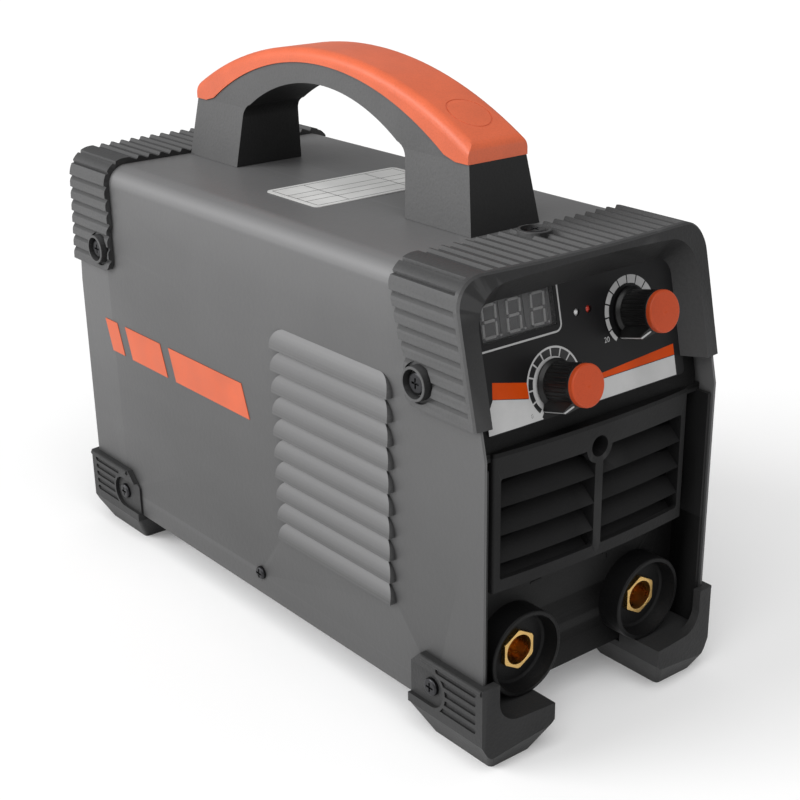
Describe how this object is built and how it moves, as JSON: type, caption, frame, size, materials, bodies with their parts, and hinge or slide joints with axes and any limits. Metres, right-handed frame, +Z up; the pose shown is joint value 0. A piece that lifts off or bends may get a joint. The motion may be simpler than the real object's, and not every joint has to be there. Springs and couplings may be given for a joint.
{
  "type": "stick welding inverter",
  "caption": "Compact stick welding power source in a steel case with carrying handle, two dials, display, air grille, twist-lock output sockets, corner feet and rear fan.",
  "frame": {"origin": "on the floor, under the middle of the overall box", "axes": "+Z up, the front with the dials and sockets towards -Y, +X to the right as seen from the front"},
  "size_m": [0.1408, 0.3382, 0.2635],
  "materials": {
    "case_paint": "satin powder coat",
    "panel_paint": "satin powder coat",
    "tray_steel": "plain grey coat",
    "hood_plastic": "fine texture",
    "foot_plastic": "fine texture",
    "black_plastic": "fine texture",
    "knob_black": "semi-gloss",
    "orange_plastic": "soft satin",
    "orange_cap": "satin",
    "orange_print": "printed film",
    "overlay_print": "printed film",
    "white_print": "satin",
    "label_foil": "satin foil",
    "clear_lens": "clear",
    "display_grey": "matt",
    "lamp_plastic": "frosted",
    "brass_contact": "machined",
    "brass_fittings": "machined",
    "copper": "bare copper",
    "zinc_steel": "zinc plated",
    "dark_screws": "black oxide",
    "chrome_wire": "bright",
    "aluminium_fins": "extruded",
    "aluminium_shaft": "turned",
    "ferrite": "sintered",
    "circuit_board": "solder mask",
    "device_epoxy": "moulded",
    "capacitor_sleeve": "shrunk sleeve",
    "ribbon_grey": "matt",
    "wire_sleeve": "matt",
    "red_rocker": "satin"
  },
  "bodies": {
    "case": {"base_tray": "tray_steel", "board_posts": "brass_fittings", "bulk_capacitors": "capacitor_sleeve", "busbars": "copper", "cable_gland": "black_plastic", "choke_core": "ferrite", "choke_winding": "copper", "control_board": "circuit_board", "control_overlay": "overlay_print", "cover_screws": "dark_screws", "cover_shell": "case_paint", "display_module": "display_grey", "display_window": "clear_lens", "earth_stud": "zinc_steel", "electronics_screws": "zinc_steel", "fan_frame": "black_plastic", "fan_guard": "chrome_wire", "fan_screws": "dark_screws", "foot_front_left": "foot_plastic", "foot_front_right": "foot_plastic", "foot_rear_left": "foot_plastic", "foot_rear_right": "foot_plastic", "front_brace": "tray_steel", "front_hood": "hood_plastic", "front_panel": "black_plastic", "handle_bolts": "zinc_steel", "handle_frame": "black_plastic", "handle_grip": "orange_plastic", "heat_sinks": "aluminium_fins", "indicator_lamps": "lamp_plastic", "main_board": "circuit_board", "potentiometers": "zinc_steel", "power_transistors": "device_epoxy", "rear_hood": "hood_plastic", "rear_panel": "panel_paint", "rectifier": "device_epoxy", "ribbon_cable": "ribbon_grey", "roof_label": "label_foil", "side_graphics": "orange_print", "socket_body_negative": "black_plastic", "socket_body_positive": "black_plastic", "socket_insert_negative": "brass_contact", "socket_insert_positive": "brass_contact", "socket_nuts": "zinc_steel", "supply_wires": "wire_sleeve", "switch_body": "black_plastic", "transformer_core": "ferrite", "transformer_winding": "copper", "tray_screws": "dark_screws"},
    "current_knob": {"knob_current": "knob_black", "knob_current_cap": "orange_cap", "knob_current_pointer": "white_print", "shaft_current": "aluminium_shaft"},
    "arc_knob": {"knob_arc": "knob_black", "knob_arc_cap": "orange_cap", "knob_arc_pointer": "white_print", "shaft_arc": "aluminium_shaft"},
    "rocker": {"switch_rocker": "red_rocker"},
    "rotor": {"fan_rotor": "black_plastic"}
  },
  "joints": [
    {"name": "current_dial", "type": "hinge", "parent": "case", "child": "current_knob", "pos_m": [0.0275, -0.14394, 0.17237], "axis": [0, 0.9763, -0.2164], "range_deg": [0, 284]},
    {"name": "arc_dial", "type": "hinge", "parent": "case", "child": "arc_knob", "pos_m": [-0.0184, -0.14812, 0.15353], "axis": [0, 0.9763, -0.2164], "range_deg": [0, 284]},
    {"name": "power_rocker", "type": "hinge", "parent": "case", "child": "rocker", "pos_m": [-0.034, 0.14255, 0.163], "axis": [1, 0, 0], "range_deg": [0, 18]},
    {"name": "fan_spin", "type": "hinge", "parent": "case", "child": "rotor", "pos_m": [0, 0.13255, 0.083], "axis": [0, 1, 0], "continuous": true}
  ]
}
